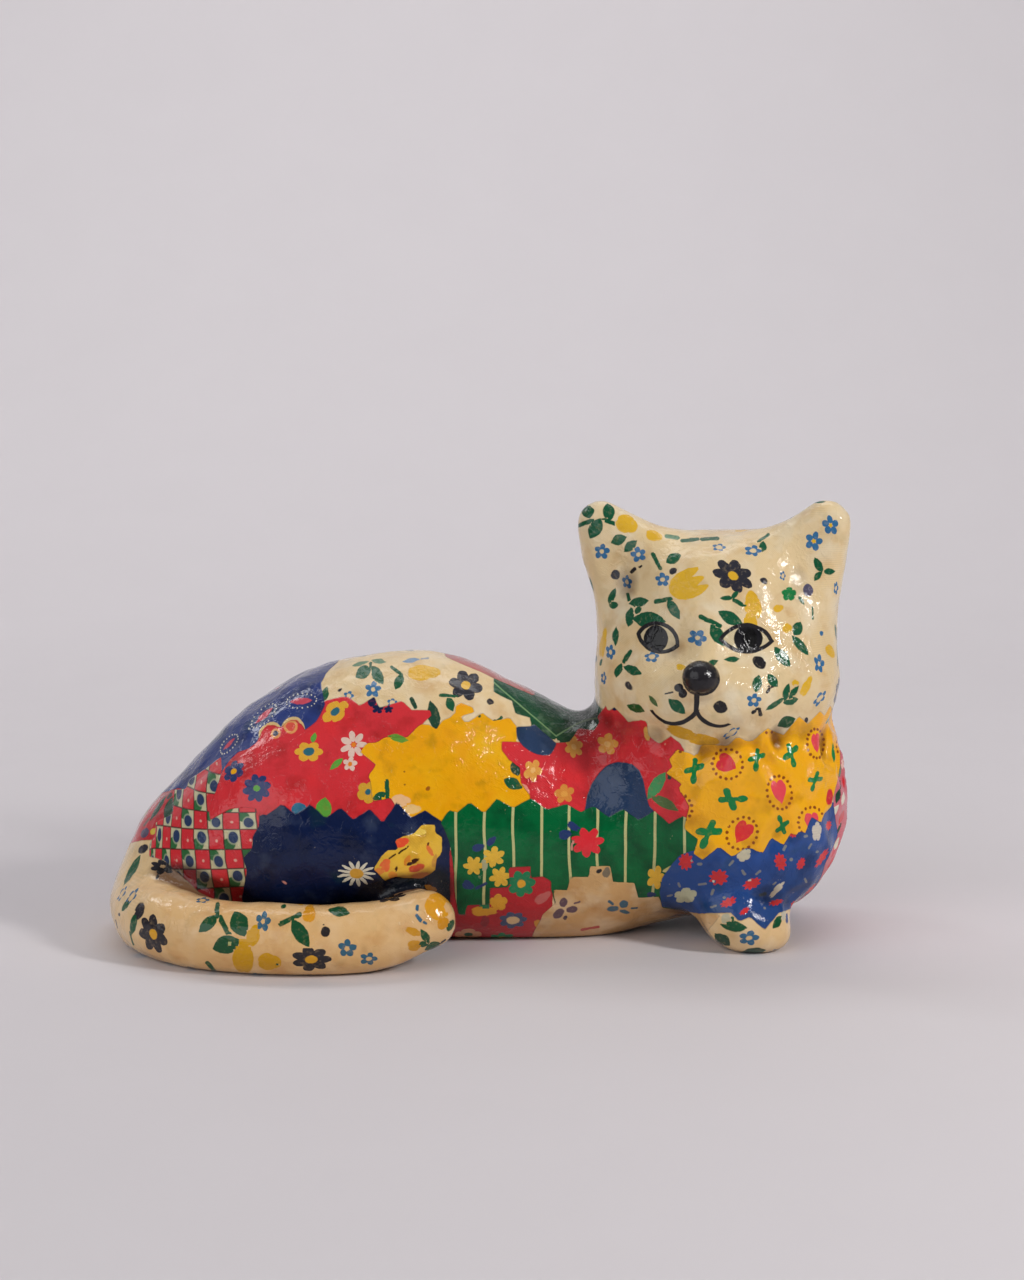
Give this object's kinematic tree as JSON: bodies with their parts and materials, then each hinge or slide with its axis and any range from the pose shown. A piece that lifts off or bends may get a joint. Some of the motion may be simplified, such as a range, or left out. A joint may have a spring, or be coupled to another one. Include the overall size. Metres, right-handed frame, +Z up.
{
  "type": "papier-mache cat",
  "caption": "Lying cat figure of varnished papier-mache with a flower-print patchwork skin, its face turned to one long side and its tail wrapped along that side, resting on a flat underside.",
  "frame": {"origin": "middle of the box round the figure, on the plane it rests on", "axes": "+X along the body towards the chest, -Y the way the face looks, +Z up"},
  "size_m": [0.3008, 0.1474, 0.1788],
  "materials": {
    "varnished_paper": "gloss"
  },
  "bodies": {
    "root": {"papier_mache_cat": "varnished_paper"}
  },
  "joints": []
}
